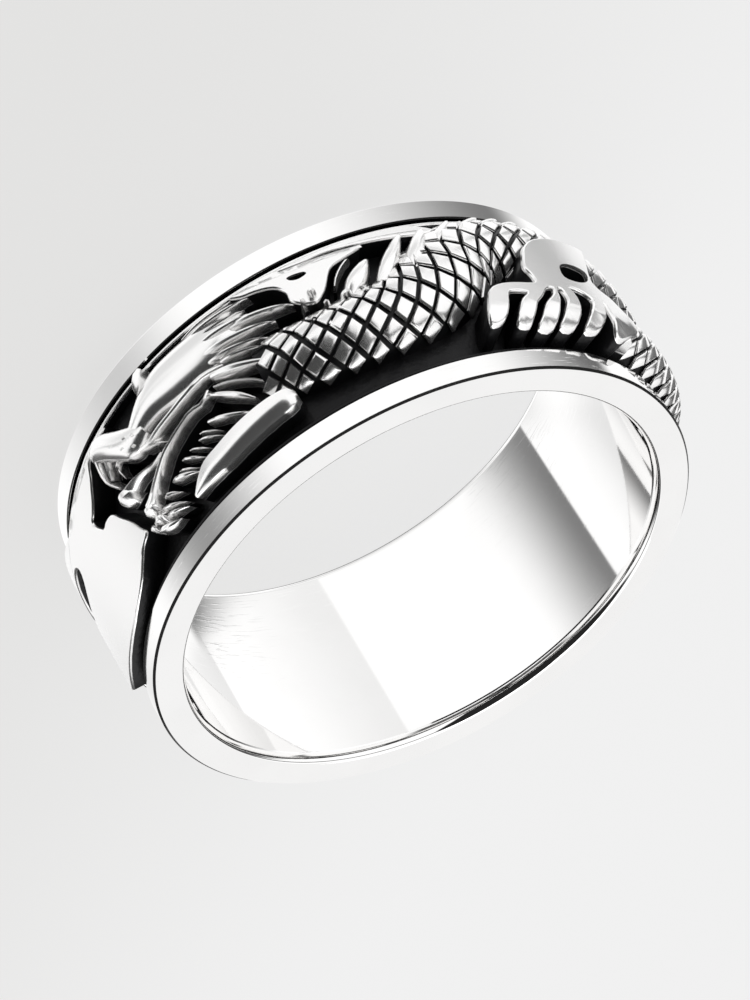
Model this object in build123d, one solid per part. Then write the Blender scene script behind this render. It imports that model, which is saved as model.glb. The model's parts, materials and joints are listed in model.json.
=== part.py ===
"""Spinning dragon ring, in millimetres.

A polished sleeve with two rims goes round the finger. A band cast as a dragon turns freely in
the channel between the rims. The finger's axis is Z, the ring lies on its lower rim at z = 0,
and the dragon's head is on the -Y side.
"""
import os
from collections import namedtuple
from math import cos, degrees, hypot, pi, radians, sin

from build123d import *

os.makedirs("parts", exist_ok=True)

# Driving sizes of the ring.
finger_diameter = 19.8
rim_diameter = 22.6
ring_width = 9.2
rim_width = 1.0
sleeve_wall = 0.42
comfort_bevel_radial = 0.2
comfort_bevel_axial = 0.3
edge_chamfer = 0.1

# Fit of the band in the sleeve's channel.
running_gap_radial = 0.07
running_gap_axial = 0.08

# Sizes of the cast band.
floor_wall = 0.3
relief_height = 1.7
lip_width = 0.15
lip_drop = 0.12
scale_rise = 0.22
plate_bevel = 0.2

# The dragon's scales are lozenges on the body's dome, each raised in the middle.
scale_length = 1.08
scale_cells_across = 6

# Fineness of the rounded forms, and how deep their feet stand in the band's floor.
dome_facets = 6
steps_between_sections = 3
rooting = 0.14
edge_margin = 0.12

# Azimuth of the middle of the dragon's face.
face_azimuth = -90.0

finger_radius = finger_diameter / 2
rim_radius = rim_diameter / 2
channel_radius = finger_radius + sleeve_wall
band_bore_radius = channel_radius + running_gap_radial
floor_radius = band_bore_radius + floor_wall
lip_radius = rim_radius - lip_drop
band_bottom = rim_width + running_gap_axial
band_width = ring_width - 2 * band_bottom

# A ridge runs through sections, a blade tapers from its root to its tip, a plate runs through
# slices from its low to its high edge, and a boss is an oval dome. An angle is in degrees from
# the middle of the face, seen from outside and counted to the right. A level is a share of the
# band's width from its lower edge, lengths and widths are shares of it too, and a height is a
# share of the relief's.
Section = namedtuple("Section", "angle level width height")
Blade = namedtuple("Blade", "root_angle root_level tip_angle tip_level width height")
Boss = namedtuple("Boss", "angle level length width height")
Slice = namedtuple("Slice", "angle low high height")

scaled_body = [
    Section(6, 0.66, 0.26, 0.80),
    Section(-5, 0.70, 0.46, 0.94),
    Section(-15, 0.72, 0.50, 1.00),
    Section(-25, 0.65, 0.50, 1.00),
    Section(-35, 0.47, 0.44, 1.00),
    Section(-45, 0.34, 0.40, 0.96),
    Section(-56, 0.25, 0.38, 0.90),
    Section(-70, 0.22, 0.38, 0.88),
    Section(-88, 0.30, 0.40, 0.92),
    Section(-106, 0.48, 0.42, 0.96),
    Section(-126, 0.62, 0.44, 1.00),
    Section(-146, 0.60, 0.42, 0.98),
    Section(-166, 0.44, 0.38, 0.94),
    Section(-186, 0.34, 0.34, 0.88),
    Section(-206, 0.40, 0.30, 0.82),
    Section(-226, 0.54, 0.26, 0.76),
    Section(-244, 0.58, 0.22, 0.70),
    Section(-262, 0.46, 0.18, 0.64),
]

ridges = {
    "tail_stem": [
        Section(-262, 0.46, 0.18, 0.64),
        Section(-274, 0.36, 0.16, 0.60),
        Section(-288, 0.30, 0.20, 0.60),
    ],
    "fin_rib": [
        Section(50, 0.72, 0.05, 0.66),
        Section(62, 0.66, 0.10, 0.72),
        Section(71, 0.50, 0.08, 0.66),
    ],
    "brow": [
        Section(9, 0.21, 0.26, 0.60),
        Section(14, 0.22, 0.38, 0.78),
        Section(21, 0.25, 0.38, 0.88),
        Section(28, 0.32, 0.26, 0.90),
        Section(33, 0.34, 0.20, 0.86),
    ],
    "muzzle": [
        Section(29, 0.36, 0.18, 0.84),
        Section(35, 0.31, 0.24, 0.92),
        Section(38, 0.21, 0.24, 0.90),
        Section(41, 0.12, 0.18, 0.72),
    ],
    "upper_lip": [
        Section(14, 0.36, 0.10, 0.62),
        Section(20, 0.42, 0.12, 0.78),
        Section(28, 0.43, 0.14, 0.86),
        Section(34, 0.37, 0.15, 0.90),
        Section(38, 0.25, 0.17, 0.88),
        Section(41, 0.13, 0.15, 0.72),
    ],
    "mouth_line": [
        Section(13, 0.39, 0.06, 0.56),
        Section(21, 0.49, 0.06, 0.66),
        Section(28, 0.51, 0.06, 0.66),
        Section(31, 0.47, 0.05, 0.60),
    ],
    "lower_lip": [
        Section(15, 0.52, 0.07, 0.60),
        Section(22, 0.56, 0.08, 0.72),
        Section(28, 0.62, 0.09, 0.78),
        Section(35, 0.72, 0.10, 0.80),
        Section(38, 0.77, 0.10, 0.76),
    ],
    "chin": [
        Section(31, 0.86, 0.10, 0.60),
        Section(36, 0.84, 0.12, 0.72),
        Section(39, 0.72, 0.10, 0.72),
    ],
    "tongue": [
        Section(31, 0.55, 0.08, 0.52),
        Section(36, 0.55, 0.10, 0.60),
        Section(41, 0.51, 0.16, 0.80),
    ],
    "fang": [
        Section(40, 0.42, 0.07, 0.56),
        Section(43, 0.33, 0.07, 0.60),
        Section(42, 0.25, 0.05, 0.50),
    ],
    "throat_lock": [
        Section(6, 0.72, 0.08, 0.60),
        Section(11, 0.60, 0.11, 0.72),
        Section(15, 0.48, 0.06, 0.60),
    ],
    "knuckles": [
        Section(-69, 0.58, 0.10, 0.80),
        Section(-57, 0.64, 0.14, 0.98),
        Section(-50, 0.67, 0.13, 1.00),
        Section(-43, 0.68, 0.12, 0.96),
        Section(-37, 0.73, 0.07, 0.84),
    ],
    "foreleg": [
        Section(-55, 0.44, 0.34, 0.92),
        Section(-64, 0.38, 0.30, 0.98),
        Section(-76, 0.28, 0.26, 0.98),
        Section(-88, 0.22, 0.24, 0.90),
        Section(-98, 0.30, 0.26, 0.90),
    ],
    "hind_leg": [
        Section(-150, 0.56, 0.28, 0.96),
        Section(-162, 0.72, 0.24, 0.98),
        Section(-174, 0.74, 0.22, 0.96),
        Section(-184, 0.60, 0.24, 0.98),
    ],
    "cloud": [
        Section(2, 0.30, 0.12, 0.52),
        Section(-5, 0.29, 0.20, 0.62),
        Section(-9, 0.18, 0.22, 0.66),
        Section(-18, 0.09, 0.16, 0.60),
        Section(-30, 0.07, 0.12, 0.54),
        Section(-38, 0.04, 0.07, 0.46),
    ],
    "cloud_edge": [
        Section(-6, 0.33, 0.08, 0.58),
        Section(-14, 0.32, 0.07, 0.60),
        Section(-22, 0.22, 0.06, 0.56),
        Section(-28, 0.15, 0.05, 0.48),
    ],
}

back_spikes = [
    Blade(-15, 0.45, -25, 0.24, 0.11, 0.74),
    Blade(-21, 0.45, -32, 0.13, 0.13, 0.78),
    Blade(-28, 0.36, -41, 0.08, 0.13, 0.78),
    Blade(-36, 0.25, -47, 0.05, 0.12, 0.72),
    Blade(-43, 0.19, -52, 0.04, 0.11, 0.66),
    Blade(-50, 0.15, -58, 0.03, 0.10, 0.62),
    Blade(-57, 0.13, -65, 0.03, 0.10, 0.60),
    Blade(-112, 0.34, -122, 0.08, 0.12, 0.70),
    Blade(-121, 0.38, -131, 0.12, 0.12, 0.74),
    Blade(-131, 0.40, -141, 0.14, 0.12, 0.74),
    Blade(-142, 0.38, -152, 0.11, 0.12, 0.72),
    Blade(-153, 0.31, -163, 0.07, 0.11, 0.70),
    Blade(-206, 0.27, -216, 0.12, 0.10, 0.62),
    Blade(-216, 0.34, -226, 0.18, 0.10, 0.60),
    Blade(-226, 0.40, -236, 0.24, 0.10, 0.58),
    Blade(-236, 0.45, -246, 0.30, 0.09, 0.54),
    Blade(-248, 0.70, -260, 0.84, 0.10, 0.54),
    Blade(-236, 0.70, -246, 0.86, 0.10, 0.56),
]
claws = [
    Blade(-38, 0.72, -35, 0.92, 0.11, 0.82),
    Blade(-45, 0.70, -39, 0.97, 0.13, 0.90),
    Blade(-52, 0.68, -46, 0.97, 0.12, 0.92),
    Blade(-56, 0.68, -51, 0.98, 0.11, 0.90),
    Blade(-63, 0.66, -55, 0.99, 0.15, 0.90),
    Blade(-72, 0.58, -64, 0.98, 0.17, 0.82),
    Blade(-184, 0.58, -178, 0.32, 0.12, 0.92),
    Blade(-188, 0.58, -184, 0.30, 0.12, 0.94),
    Blade(-190, 0.60, -191, 0.32, 0.12, 0.94),
    Blade(-190, 0.64, -198, 0.42, 0.12, 0.90),
]
mane_locks = [
    Blade(14, 0.40, 2, 0.56, 0.09, 0.66),
    Blade(13, 0.34, 1, 0.44, 0.09, 0.64),
    Blade(12, 0.27, 0, 0.35, 0.09, 0.64),
    Blade(12, 0.20, 0, 0.24, 0.09, 0.62),
    Blade(14, 0.13, 1, 0.15, 0.09, 0.60),
    Blade(16, 0.06, 3, 0.05, 0.08, 0.54),
    Blade(-1, 0.52, -14, 0.38, 0.10, 0.68),
    Blade(2, 0.48, -10, 0.30, 0.09, 0.62),
]
teeth = [
    Blade(10, 0.72, 17, 0.60, 0.07, 0.50),
    Blade(16, 0.71, 22, 0.61, 0.07, 0.50),
    Blade(22, 0.70, 27, 0.62, 0.07, 0.50),
    Blade(25, 0.77, 33, 0.70, 0.08, 0.56),
    Blade(29, 0.82, 36, 0.74, 0.08, 0.60),
]

bosses = [
    Boss(25, 0.13, 0.12, 0.14, 0.84),
    Boss(33, 0.30, 0.10, 0.10, 0.94),
    Boss(41, 0.51, 0.15, 0.16, 0.82),
    Boss(-56, 0.45, 0.46, 0.36, 1.00),
    Boss(-150, 0.56, 0.42, 0.40, 1.00),
    Boss(-186, 0.60, 0.30, 0.26, 1.00),
    Boss(-12, 0.52, 0.07, 0.07, 0.84),
    Boss(-9, 0.51, 0.06, 0.06, 0.80),
    Boss(-5, 0.53, 0.07, 0.07, 0.80),
]

plates = {
    "fin_upper_lobe": [
        Slice(41, 0.68, 0.78, 0.56),
        Slice(44, 0.60, 0.86, 0.60),
        Slice(48, 0.47, 0.97, 0.62),
        Slice(54, 0.38, 0.98, 0.63),
        Slice(61, 0.34, 0.98, 0.63),
        Slice(67, 0.46, 0.98, 0.62),
        Slice(72, 0.58, 0.92, 0.60),
        Slice(75, 0.68, 0.80, 0.56),
    ],
    "fin_lower_lobe": [
        Slice(42, 0.03, 0.10, 0.50),
        Slice(46, 0.04, 0.22, 0.56),
        Slice(53, 0.08, 0.33, 0.60),
        Slice(60, 0.14, 0.46, 0.63),
        Slice(66, 0.13, 0.42, 0.63),
        Slice(76, 0.12, 0.36, 0.60),
        Slice(86, 0.22, 0.38, 0.58),
    ],
    "cheek": [
        Slice(4, 0.76, 0.84, 0.62),
        Slice(7, 0.74, 0.92, 0.72),
        Slice(14, 0.75, 0.97, 0.78),
        Slice(21, 0.78, 0.97, 0.76),
        Slice(26, 0.82, 0.90, 0.64),
    ],
}


def on_band(angle, y, rise):
    """Return a point at an angle, a distance across the band and a rise above its floor."""
    height = min(max(y, edge_margin), band_width - edge_margin)
    turn = radians(face_azimuth + angle)
    radius = floor_radius + rise
    return Vector(radius * cos(turn), radius * sin(turn), band_bottom + height)


def blend(before, start, end, after, share):
    """Return a value on the smooth curve that passes through start and end."""
    rising = (end - before) / 2
    falling = (after - start) / 2
    twist = start - end
    curve = (2 * twist + rising + falling) * share - 3 * twist - 2 * rising - falling
    return (curve * share + rising) * share + start


def smoothed(sections):
    """Return sections on the smooth path through the given ones, several to each stretch."""
    ends = [sections[0]] + sections + [sections[-1]]
    path = []
    for before, start, end, after in zip(ends, ends[1:], ends[2:], ends[3:]):
        for step in range(steps_between_sections):
            share = step / steps_between_sections
            path.append(Section(*(blend(*values, share) for values in zip(before, start, end, after))))
    return path + [sections[-1]]


def run_between(start, end):
    """Return the lengths round the rim and across the band from one section to another."""
    return radians(end.angle - start.angle) * rim_radius, (end.level - start.level) * band_width


def evenly_spaced(sections, pitch):
    """Return sections along the path at an even pitch."""
    spaced = [sections[0]]
    travelled = 0.0
    for start, end in zip(sections, sections[1:]):
        length = hypot(*run_between(start, end))
        while travelled + length >= pitch * len(spaced):
            share = (pitch * len(spaced) - travelled) / length
            spaced.append(Section(*(a + (b - a) * share for a, b in zip(start, end))))
        travelled += length
    return spaced


def cross_directions(sections):
    """Return for each section the unit direction across the path, round the rim and up."""
    directions = []
    for index in range(len(sections)):
        before = sections[max(index - 1, 0)]
        after = sections[min(index + 1, len(sections) - 1)]
        run_x, run_y = run_between(before, after)
        length = hypot(run_x, run_y)
        directions.append((-run_y / length, run_x / length))
    return directions


def dome_ring(section, direction, facets, bumps):
    """Return the points of one cross-section: its two feet and the arch between them."""
    half_width = section.width * band_width / 2
    crest = section.height * relief_height
    profile = [(half_width, -rooting)]
    for step in range(facets + 1):
        turn = pi * step / facets
        profile.append((half_width * cos(turn), crest * sin(turn) + bumps[step]))
    profile.append((-half_width, -rooting))
    points = []
    for across, rise in profile:
        angle = section.angle + degrees(across * direction[0] / rim_radius)
        points.append(on_band(angle, section.level * band_width + across * direction[1], rise))
    return points


def facet(*corners):
    """Return a flat face through its corners."""
    return Face(Wire.make_polygon(corners, close=True))


def skin(rings):
    """Return the closed solid of flat facets that joins rings of points, capped at both ends."""
    faces = []
    for row, (near, far) in enumerate(zip(rings, rings[1:])):
        for index in range(len(near)):
            after = (index + 1) % len(near)
            if (row + index) % 2 == 0:
                faces.append(facet(near[index], near[after], far[index]))
                faces.append(facet(near[after], far[after], far[index]))
            else:
                faces.append(facet(near[index], near[after], far[after]))
                faces.append(facet(near[index], far[after], far[index]))
    for ring in (rings[0], rings[-1]):
        for index in range(1, len(ring) - 1):
            faces.append(facet(ring[0], ring[index], ring[index + 1]))
    return Solid(Shell(faces))


def make_ridge(sections):
    """Return a smooth round-topped ridge."""
    path = smoothed(sections)
    level_top = [0.0] * (dome_facets + 1)
    return skin([dome_ring(*pair, dome_facets, level_top) for pair in zip(path, cross_directions(path))])


def make_scaled_body(sections):
    """Return the dragon's body, whose dome carries lozenge scales."""
    path = evenly_spaced(smoothed(sections), scale_length / 2)
    rings = []
    for row, (section, direction) in enumerate(zip(path, cross_directions(path))):
        bumps = [0.0] * (scale_cells_across + 1)
        for column in range(1, scale_cells_across):
            bumps[column] = scale_rise / 2 if (row + column) % 2 else -scale_rise / 2
        rings.append(dome_ring(section, direction, scale_cells_across, bumps))
    return skin(rings)


def make_blade(blade):
    """Return a straight tapering ridge with a slim tip."""
    root = Section(blade.root_angle, blade.root_level, blade.width, blade.height)
    tip = Section(blade.tip_angle, blade.tip_level, blade.width / 4, blade.height * 0.7)
    level_top = [0.0] * (dome_facets + 1)
    pairs = zip([root, tip], cross_directions([root, tip]))
    return skin([dome_ring(*pair, dome_facets, level_top) for pair in pairs])


def make_boss(boss):
    """Return an oval dome, as a short ridge that swells and narrows."""
    half_angle = degrees(boss.length * band_width / 2 / rim_radius)
    sections = []
    for step in range(1, dome_facets):
        turn = pi * step / dome_facets
        angle = boss.angle - half_angle * cos(turn)
        sections.append(Section(angle, boss.level, boss.width * sin(turn), boss.height * sin(turn)))
    level_top = [0.0] * (dome_facets + 1)
    pairs = zip(sections, cross_directions(sections))
    return skin([dome_ring(*pair, dome_facets, level_top) for pair in pairs])


def make_plate(slices):
    """Return a smooth plate with bevelled edges."""
    rings = []
    for cut in slices:
        low = cut.low * band_width
        high = cut.high * band_width
        top = cut.height * relief_height
        bevel = min(plate_bevel, (high - low) / 4)
        profile = [(low, -rooting), (low, top - bevel), (low + bevel, top)]
        profile += [(high - bevel, top), (high, top - bevel), (high, -rooting)]
        rings.append([on_band(cut.angle, y, rise) for y, rise in profile])
    return skin(rings)


def make_band_ring():
    """Return the plain band under the relief, with a thin lip along each edge."""
    low = band_bottom
    high = band_bottom + band_width
    outline = [
        (band_bore_radius, 0, low),
        (lip_radius, 0, low),
        (lip_radius, 0, low + lip_width),
        (floor_radius, 0, low + lip_width),
        (floor_radius, 0, high - lip_width),
        (lip_radius, 0, high - lip_width),
        (lip_radius, 0, high),
        (band_bore_radius, 0, high),
    ]
    return revolve(make_face(Polyline(outline, close=True)), Axis.Z, 360)


def make_dragon_band():
    """Return the cast band: the plain ring and the dragon's relief in one solid."""
    relief = [make_scaled_body(scaled_body)]
    relief += [make_ridge(sections) for sections in ridges.values()]
    relief += [make_blade(blade) for blade in back_spikes + claws + mane_locks + teeth]
    relief += [make_boss(boss) for boss in bosses]
    relief += [make_plate(slices) for slices in plates.values()]
    return make_band_ring().fuse(*relief)


def make_sleeve():
    """Return the sleeve: one turned solid with a channel between two rims."""
    half_profile = [
        (finger_radius, ring_width / 2),
        (finger_radius, comfort_bevel_axial),
        (finger_radius + comfort_bevel_radial, 0),
        (rim_radius - edge_chamfer, 0),
        (rim_radius, edge_chamfer),
        (rim_radius, rim_width - edge_chamfer / 2),
        (rim_radius - edge_chamfer / 2, rim_width),
        (channel_radius, rim_width),
        (channel_radius, ring_width / 2),
    ]
    mirrored = [(radius, ring_width - height) for radius, height in reversed(half_profile[1:-1])]
    outline = half_profile[1:-1] + mirrored
    profile = make_face(Polyline([(radius, 0, height) for radius, height in outline], close=True))
    return revolve(profile, Axis.Z, 360)


sleeve = make_sleeve()
sleeve.label = "sleeve"
export_step(sleeve, "parts/sleeve.step")

dragon_band = make_dragon_band()
dragon_band.label = "dragon_band"
export_step(dragon_band, "parts/dragon_band.step", write_pcurves=False)
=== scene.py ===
"""Looks of the dragon spinner ring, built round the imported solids.

Every length is in metres. A dragon form is modelled as a straight blank, laid along its trail on
the band and wrapped round the ring. A trail is told in degrees round the ring, counted from -Y
towards +X, and in shares of the band's width and of the relief's height.
"""
import sys

import json
import logging
from bisect import bisect_right
from dataclasses import dataclass
from enum import Enum
from math import ceil, copysign, cos, degrees, floor, hypot, pi, radians, sin
from typing import NamedTuple

import bmesh
import bpy
from mathutils import Matrix, Vector


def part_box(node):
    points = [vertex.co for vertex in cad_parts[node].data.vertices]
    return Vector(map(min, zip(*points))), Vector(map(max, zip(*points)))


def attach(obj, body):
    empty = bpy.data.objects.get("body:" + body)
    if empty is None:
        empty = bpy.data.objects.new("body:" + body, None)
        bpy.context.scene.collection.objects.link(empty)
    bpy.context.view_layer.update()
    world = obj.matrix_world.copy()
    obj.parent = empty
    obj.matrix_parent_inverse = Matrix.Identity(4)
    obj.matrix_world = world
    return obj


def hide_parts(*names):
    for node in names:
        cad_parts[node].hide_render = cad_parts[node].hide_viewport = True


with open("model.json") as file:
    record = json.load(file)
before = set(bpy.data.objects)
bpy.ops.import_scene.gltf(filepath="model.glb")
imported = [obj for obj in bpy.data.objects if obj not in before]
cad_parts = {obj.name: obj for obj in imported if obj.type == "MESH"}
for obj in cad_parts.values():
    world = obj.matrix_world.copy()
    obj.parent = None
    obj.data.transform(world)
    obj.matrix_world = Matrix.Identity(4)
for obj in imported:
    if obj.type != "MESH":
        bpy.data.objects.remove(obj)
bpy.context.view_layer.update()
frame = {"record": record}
LOG = logging.getLogger("dragon_ring")
MM = 0.001
# How polished each point is; on the sleeve low values also paint shade: in the channel and as a contact
# shadow at the foot.
POLISH_AND_SHADE = "polish"
SEED_SIZE = 0.1 * MM
MERGE_DISTANCE = 0.0001 * MM


@dataclass(frozen=True)
class RingSize:
    """Sizes that the sub-assemblies share, worked out from the frame."""

    bore_radius: float
    rim_radius: float
    width: float
    rim_width: float = 1.0 * MM
    sleeve_wall: float = 0.42 * MM
    gap_radial: float = 0.07 * MM
    gap_axial: float = 0.08 * MM
    floor_wall: float = 0.3 * MM
    relief_height: float = 1.7 * MM
    rooting: float = 0.14 * MM
    edge_margin: float = 0.03 * MM

    @classmethod
    def from_frame(cls) -> "RingSize":
        """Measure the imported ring.

        Returns:
            The ring's sizes.
        """
        low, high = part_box("sleeve")
        bore = next(m for m in frame["record"]["mounts"] if m["name"] == "finger_bore")
        return cls(bore["dims"]["r_mm"] * MM, (high[0] - low[0]) / 2, high[2] - low[2])

    @property
    def channel_radius(self) -> float:
        """Return the outer radius of the sleeve's wall."""
        return self.bore_radius + self.sleeve_wall

    @property
    def band_bore_radius(self) -> float:
        """Return the radius of the band's plain inside."""
        return self.channel_radius + self.gap_radial

    @property
    def floor_radius(self) -> float:
        """Return the radius of the floor that the relief stands on."""
        return self.band_bore_radius + self.floor_wall

    @property
    def band_bottom(self) -> float:
        """Return the height of the band's lower edge."""
        return self.rim_width + self.gap_axial

    @property
    def band_width(self) -> float:
        """Return the band's width along the finger's axis."""
        return self.width - 2 * self.band_bottom

    def kept_in(self, across: float) -> float:
        """Return a distance across the band, held inside its two edges."""
        return min(max(across, self.edge_margin), self.band_width - self.edge_margin)

    def wrap(self, angle: float, across: float, rise: float) -> Vector:
        """Return a point of the ring.

        Args:
            angle: Degrees round the ring.
            across: Distance from the band's lower edge.
            rise: Distance above the band's floor.

        Returns:
            The point in the ring's frame.
        """
        turn = radians(angle)
        radius = self.floor_radius + rise
        return Vector((radius * sin(turn), -radius * cos(turn), self.band_bottom + across))


class Signal:
    """A shader socket that sums can be written on."""

    def __init__(self, sheet: "NodeSheet", socket: bpy.types.NodeSocket) -> None:
        """Keep the socket and the sheet that it belongs to."""
        self.sheet = sheet
        self.socket = socket

    def _math(self, operation: str, left: "Signal | float", right: "Signal | float") -> "Signal":
        """Return the result of a Math node."""
        return self.sheet.add("ShaderNodeMath", {0: left, 1: right}, operation=operation)

    def __add__(self, other: "Signal | float") -> "Signal":
        """Return the sum."""
        return self._math("ADD", self, other)

    __radd__ = __add__

    def __sub__(self, other: "Signal | float") -> "Signal":
        """Return the difference."""
        return self._math("SUBTRACT", self, other)

    def __rsub__(self, other: float) -> "Signal":
        """Return a number less this signal."""
        return self._math("SUBTRACT", other, self)

    def __mul__(self, other: "Signal | float") -> "Signal":
        """Return the product."""
        return self._math("MULTIPLY", self, other)

    __rmul__ = __mul__

    def angle_from(self, other: "Signal") -> "Signal":
        """Return the angle, in radians, whose sine is this signal and whose cosine is the other."""
        return self._math("ARCTAN2", self, other)

    def arcsine(self) -> "Signal":
        """Return the angle, in radians, whose sine is this signal."""
        return self._math("ARCSINE", self, 0.0)


class NodeSheet:
    """The nodes of one material or world."""

    def __init__(self, owner: bpy.types.Material | bpy.types.World) -> None:
        """Clear the owner's nodes.

        Args:
            owner: The material or world.
        """
        owner.use_nodes = True
        self.tree = owner.node_tree
        self.tree.nodes.clear()

    def add(self, kind: str, sockets: dict | None = None, output: str | int = 0, **settings: str) -> Signal:
        """Add a node.

        Args:
            kind: The node's type.
            sockets: Values or signals by socket name or number.
            output: Name or number of the output to return.
            settings: Values of the node's properties.

        Returns:
            One of the node's outputs.
        """
        node = self.tree.nodes.new(kind)
        for name, value in settings.items():
            setattr(node, name, value)
        for name, value in (sockets or {}).items():
            if isinstance(value, Signal):
                self.tree.links.new(value.socket, node.inputs[name])
            else:
                node.inputs[name].default_value = value
        return Signal(self, node.outputs[output])

    def show(self, kind: str, shader: Signal) -> None:
        """Add an output node of a kind and link a shader to it."""
        output = self.tree.nodes.new(kind)
        self.tree.links.new(shader.socket, output.inputs["Surface"])

    def surface(self, sockets: dict) -> None:
        """Make the material's surface from a principled shader's sockets."""
        self.show("ShaderNodeOutputMaterial", self.add("ShaderNodeBsdfPrincipled", sockets))

    def place(self) -> Signal:
        """Return the place on the object."""
        return self.add("ShaderNodeTexCoord", output="Object")

    def polish(self) -> Signal:
        """Return how polished the object is there, which on the sleeve also carries painted shade."""
        return self.add("ShaderNodeAttribute", output="Fac", attribute_name=POLISH_AND_SHADE)

    def axes(self, place: Signal) -> list[Signal]:
        """Return the X, Y and Z of a place."""
        split = self.add("ShaderNodeSeparateXYZ", {0: place})
        return [Signal(self, socket) for socket in split.socket.node.outputs]

    def smooth_step(self, value: Signal, low: float, high: float) -> Signal:
        """Return a signal that rises softly from 0 at low to 1 at high."""
        sockets = {"Value": value, "From Min": low, "From Max": high}
        return self.add("ShaderNodeMapRange", sockets, interpolation_type="SMOOTHSTEP")

    def window(self, value: Signal, rising: float, risen: float, falling: float, fallen: float) -> Signal:
        """Return a signal that is 1 from risen to falling and 0 below rising and above fallen."""
        return self.smooth_step(value, rising, risen) * (1 - self.smooth_step(value, falling, fallen))

    def noise(self, place: Signal, scale: float, detail: float = 3.0) -> Signal:
        """Return a noise between 0 and 1 at a place."""
        return self.add("ShaderNodeTexNoise", {"Vector": place, "Scale": scale, "Detail": detail}, "Fac")

    def mix_colour(self, mask: Signal, low: tuple | Signal, high: tuple | Signal) -> Signal:
        """Return a colour between two colours."""
        return self.add("ShaderNodeMix", {0: mask, 6: low, 7: high}, 2, data_type="RGBA")

    def bump(self, height: Signal, strength: float, distance: float) -> Signal:
        """Return the normals of a surface that a height bumps."""
        return self.add("ShaderNodeBump", {"Strength": strength, "Distance": distance, "Height": height})


@dataclass(frozen=True)
class PolishedSilver:
    """Mirror-polished silver with the faint wear of handling."""

    name: str = "polished_silver"
    bright: tuple = (0.95, 0.945, 0.94, 1.0)
    dull: tuple = (0.92, 0.915, 0.91, 1.0)
    # Near-black for tarnish and for painted shade: the channel's shade and the foot's contact shadow are
    # painted with it.
    tarnish_and_painted_shade: tuple = (0.015, 0.015, 0.016, 1.0)
    tarnish_and_shade_fade: tuple = (0.3, 0.6)
    roughness: float = 0.045
    wear: float = 0.03
    wear_fade: tuple = (0.4, 0.8)
    cloud_scale: float = 260.0
    cloud_fade: tuple = (0.3, 0.7)
    scratch_scale: float = 900.0
    scratch_detail: float = 5.0
    scratch_stretch: float = 14.0
    scratch_fade: tuple = (0.55, 0.8)
    scratch_strength: float = 0.03
    scratch_depth: float = 0.01 * MM

    def make(self) -> bpy.types.Material:
        """Make the material.

        Returns:
            The polished silver, dark where the polish is low: tarnish and painted shade in the channel, and a
            painted contact shadow at the foot.
        """
        material = bpy.data.materials.new(self.name)
        sheet = NodeSheet(material)
        place = sheet.place()
        cloud = sheet.noise(place, self.cloud_scale)
        stretch = (1.0, 1.0, self.scratch_stretch)
        stretched = sheet.add("ShaderNodeMapping", {"Vector": place, "Scale": stretch})
        streaks = sheet.noise(stretched, self.scratch_scale, self.scratch_detail)
        scratch = sheet.smooth_step(streaks, *self.scratch_fade)
        silver = sheet.mix_colour(sheet.smooth_step(cloud, *self.cloud_fade), self.bright, self.dull)
        # Low polish paints the near-black: tarnish with painted shade in the channel, and a painted contact
        # shadow at the foot.
        untarnished_and_unshaded = sheet.smooth_step(sheet.polish(), *self.tarnish_and_shade_fade)
        sheet.surface({
            "Base Color": sheet.mix_colour(untarnished_and_unshaded, self.tarnish_and_painted_shade, silver),
            "Metallic": 1.0,
            "Roughness": self.roughness + self.wear * sheet.smooth_step(cloud, *self.wear_fade),
            "Normal": sheet.bump(scratch, self.scratch_strength, self.scratch_depth),
        })
        return material


@dataclass(frozen=True)
class OxidisedSilver:
    """Silver whose recesses are blackened and whose tops are polished back to bright metal."""

    name: str = "oxidised_silver"
    bright: tuple = (0.95, 0.945, 0.94, 1.0)
    black: tuple = (0.012, 0.012, 0.013, 1.0)
    polished_roughness: float = 0.22
    oxide_roughness: float = 0.36
    polished_metallic: float = 0.92
    oxide_metallic: float = 0.35
    specular: float = 0.25
    ragged: float = 0.22
    polish_fade: tuple = (0.38, 0.62)
    grain_scale: float = 2600.0
    grain_detail: float = 4.0
    grain_share: float = 0.08
    pit_scale: float = 5200.0
    pit_strength: float = 0.5
    pit_depth: float = 0.04 * MM

    def make(self) -> bpy.types.Material:
        """Make the material.

        Returns:
            The silver, bright where the polish is high and black where it is low.
        """
        material = bpy.data.materials.new(self.name)
        sheet = NodeSheet(material)
        place = sheet.place()
        grain = sheet.noise(place, self.grain_scale, self.grain_detail)
        mask = sheet.smooth_step(sheet.polish() + (grain - 0.5) * self.ragged, *self.polish_fade)
        height = sheet.noise(place, self.pit_scale) * (1 - mask) + grain * self.grain_share
        sheet.surface({
            "Base Color": sheet.mix_colour(mask, self.black, self.bright),
            "Metallic": self.oxide_metallic * (1 - mask) + self.polished_metallic * mask,
            "Specular IOR Level": self.specular,
            "Roughness": self.polished_roughness * mask + self.oxide_roughness * (1 - mask),
            "Normal": sheet.bump(height, self.pit_strength, self.pit_depth),
        })
        return material


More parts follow.
